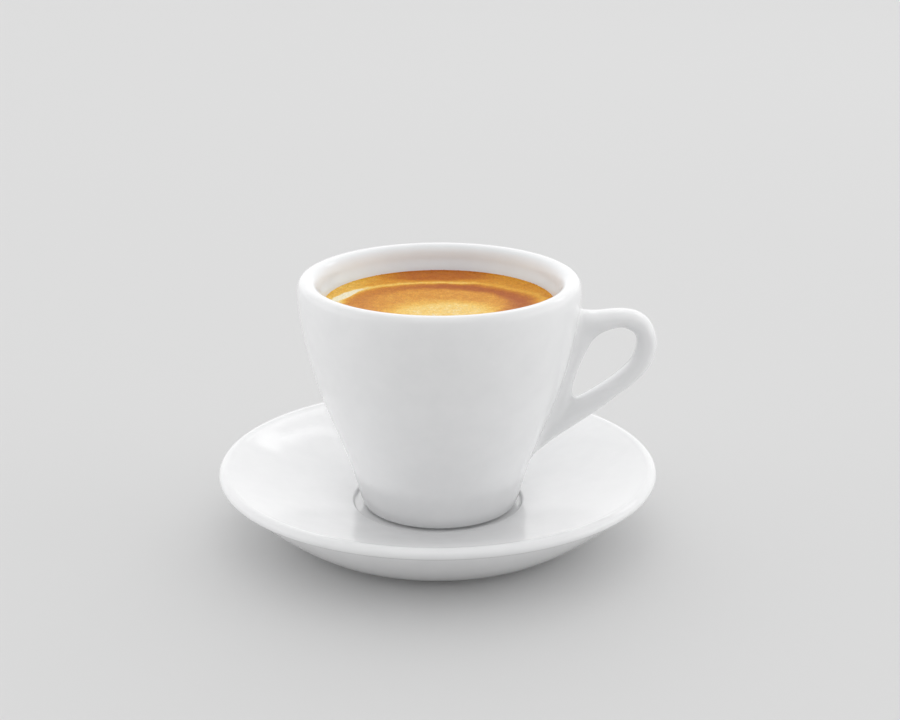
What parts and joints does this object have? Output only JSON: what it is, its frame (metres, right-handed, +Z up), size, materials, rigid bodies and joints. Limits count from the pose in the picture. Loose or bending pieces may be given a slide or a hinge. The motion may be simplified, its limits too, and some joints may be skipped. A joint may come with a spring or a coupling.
{
  "type": "espresso shot in a cup and saucer",
  "caption": "Tapered white porcelain espresso cup with a ring handle, full of crema-topped coffee, standing in the well of its round dished saucer.",
  "frame": {"origin": "centre of the saucer's foot, on the surface it stands on", "axes": "+Z up, +X towards the cup's handle, -Y towards the viewer of the picture"},
  "size_m": [0.1104, 0.1104, 0.0662],
  "materials": {
    "porcelain": "smooth white gloss glaze",
    "crema": null
  },
  "bodies": {
    "root": {"saucer": "porcelain", "cup": "porcelain", "espresso": "crema"}
  },
  "joints": []
}
